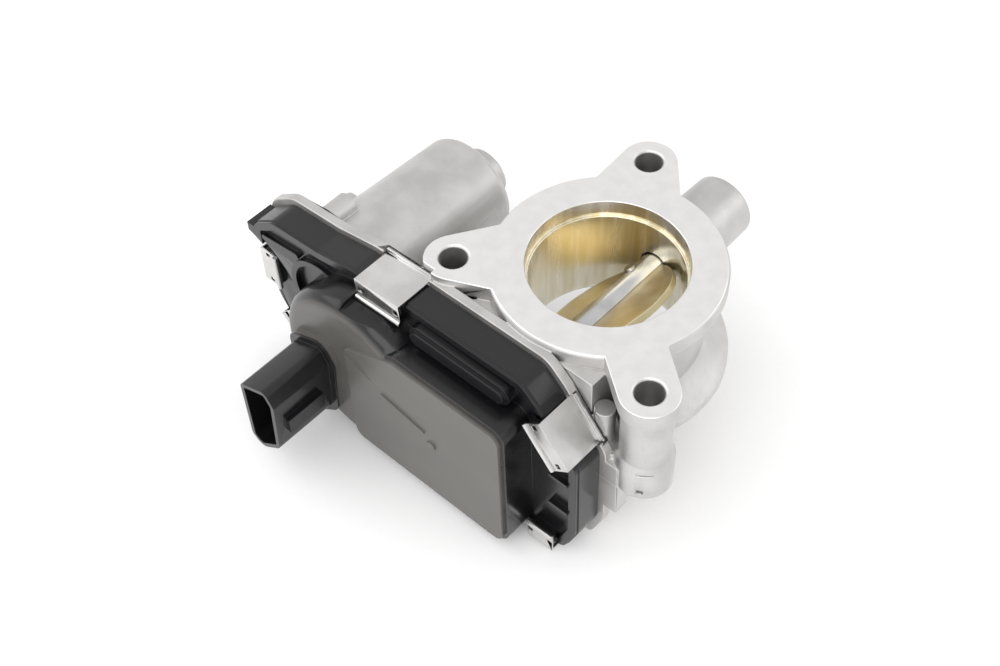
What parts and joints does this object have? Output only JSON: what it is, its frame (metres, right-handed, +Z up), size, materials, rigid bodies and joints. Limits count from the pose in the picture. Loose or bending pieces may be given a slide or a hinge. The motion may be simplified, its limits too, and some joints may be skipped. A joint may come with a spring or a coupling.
{
  "type": "throttle body",
  "caption": "Electronic throttle body: cast housing with an ear-mounted round flange, a geared motor drive behind a clipped cover, and a plate turning in the bore.",
  "frame": {"origin": "centre of the bore's opening, on the machined top flange face", "axes": "+Z up along the bore out of the flange face; +Y along the throttle shaft, away from the gear cover; +X towards the end away from the motor"},
  "size_m": [0.1295, 0.1179, 0.0619],
  "materials": {
    "die_cast": "satin",
    "steel": "ground",
    "stainless": "bright",
    "plate_brass": "satin",
    "seal_rubber": "matte",
    "cover_plastic": "moulded",
    "gear_plastic": "moulded",
    "dark_plastic": "moulded",
    "board_green": "lacquered",
    "contact_brass": "tinned",
    "magnet_dark": "sintered",
    "copper_winding": "enamelled"
  },
  "bodies": {
    "housing": {"throttle_housing": "die_cast", "end_plug": "steel", "gear_side_bearing": "steel", "far_bearing": "steel", "shaft_seals": "seal_rubber", "return_spring": "steel", "spring_sleeve": "gear_plastic", "stop_pins": "steel", "idler_axle_small": "steel", "idler_axle_large": "steel", "motor_can": "steel", "motor_magnets": "magnet_dark", "motor_end_plate": "dark_plastic", "motor_screws": "steel", "motor_rear_bush": "contact_brass", "cover": "cover_plastic", "cover_gasket": "seal_rubber", "sensor_board": "board_green", "connector_pins": "contact_brass", "motor_terminals": "contact_brass", "clip_top": "stainless", "clip_corner": "stainless", "clip_bottom": "stainless", "clip_lower_left": "stainless", "clip_left": "stainless"},
    "throttle": {"throttle_shaft": "steel", "throttle_plate": "plate_brass", "plate_screws": "steel", "sector_gear": "gear_plastic", "sensor_magnet": "magnet_dark"},
    "small_idler": {"idler_gear_small": "gear_plastic"},
    "large_idler": {"idler_gear_large": "gear_plastic"},
    "motor_rotor": {"motor_armature": "copper_winding", "motor_shaft": "steel", "motor_pinion": "contact_brass"}
  },
  "joints": [
    {"name": "throttle_turn", "type": "hinge", "parent": "housing", "child": "throttle", "pos_m": [0, 0, -0.018], "axis": [0, -1, 0], "range_deg": [-34, 50], "stiffness_Nm_per_rad": 0.02},
    {"name": "small_idler_turn", "type": "hinge", "parent": "housing", "child": "small_idler", "pos_m": [-0.01406, 0, -0.04336], "axis": [0, -1, 0], "range_deg": [-158, 108]},
    {"name": "large_idler_turn", "type": "hinge", "parent": "housing", "child": "large_idler", "pos_m": [-0.04163, 0, -0.0385], "axis": [0, -1, 0], "range_deg": [-94, 138]},
    {"name": "motor_turn", "type": "hinge", "parent": "housing", "child": "motor_rotor", "pos_m": [-0.0604, 0, -0.02487], "axis": [0, -1, 0], "range_deg": [-524, 358]}
  ],
  "couplings": [
    {"joint": "small_idler_turn", "follows": "throttle_turn", "ratio": -3.1429},
    {"joint": "large_idler_turn", "follows": "throttle_turn", "ratio": 2.7238},
    {"joint": "motor_turn", "follows": "throttle_turn", "ratio": -10.441}
  ]
}
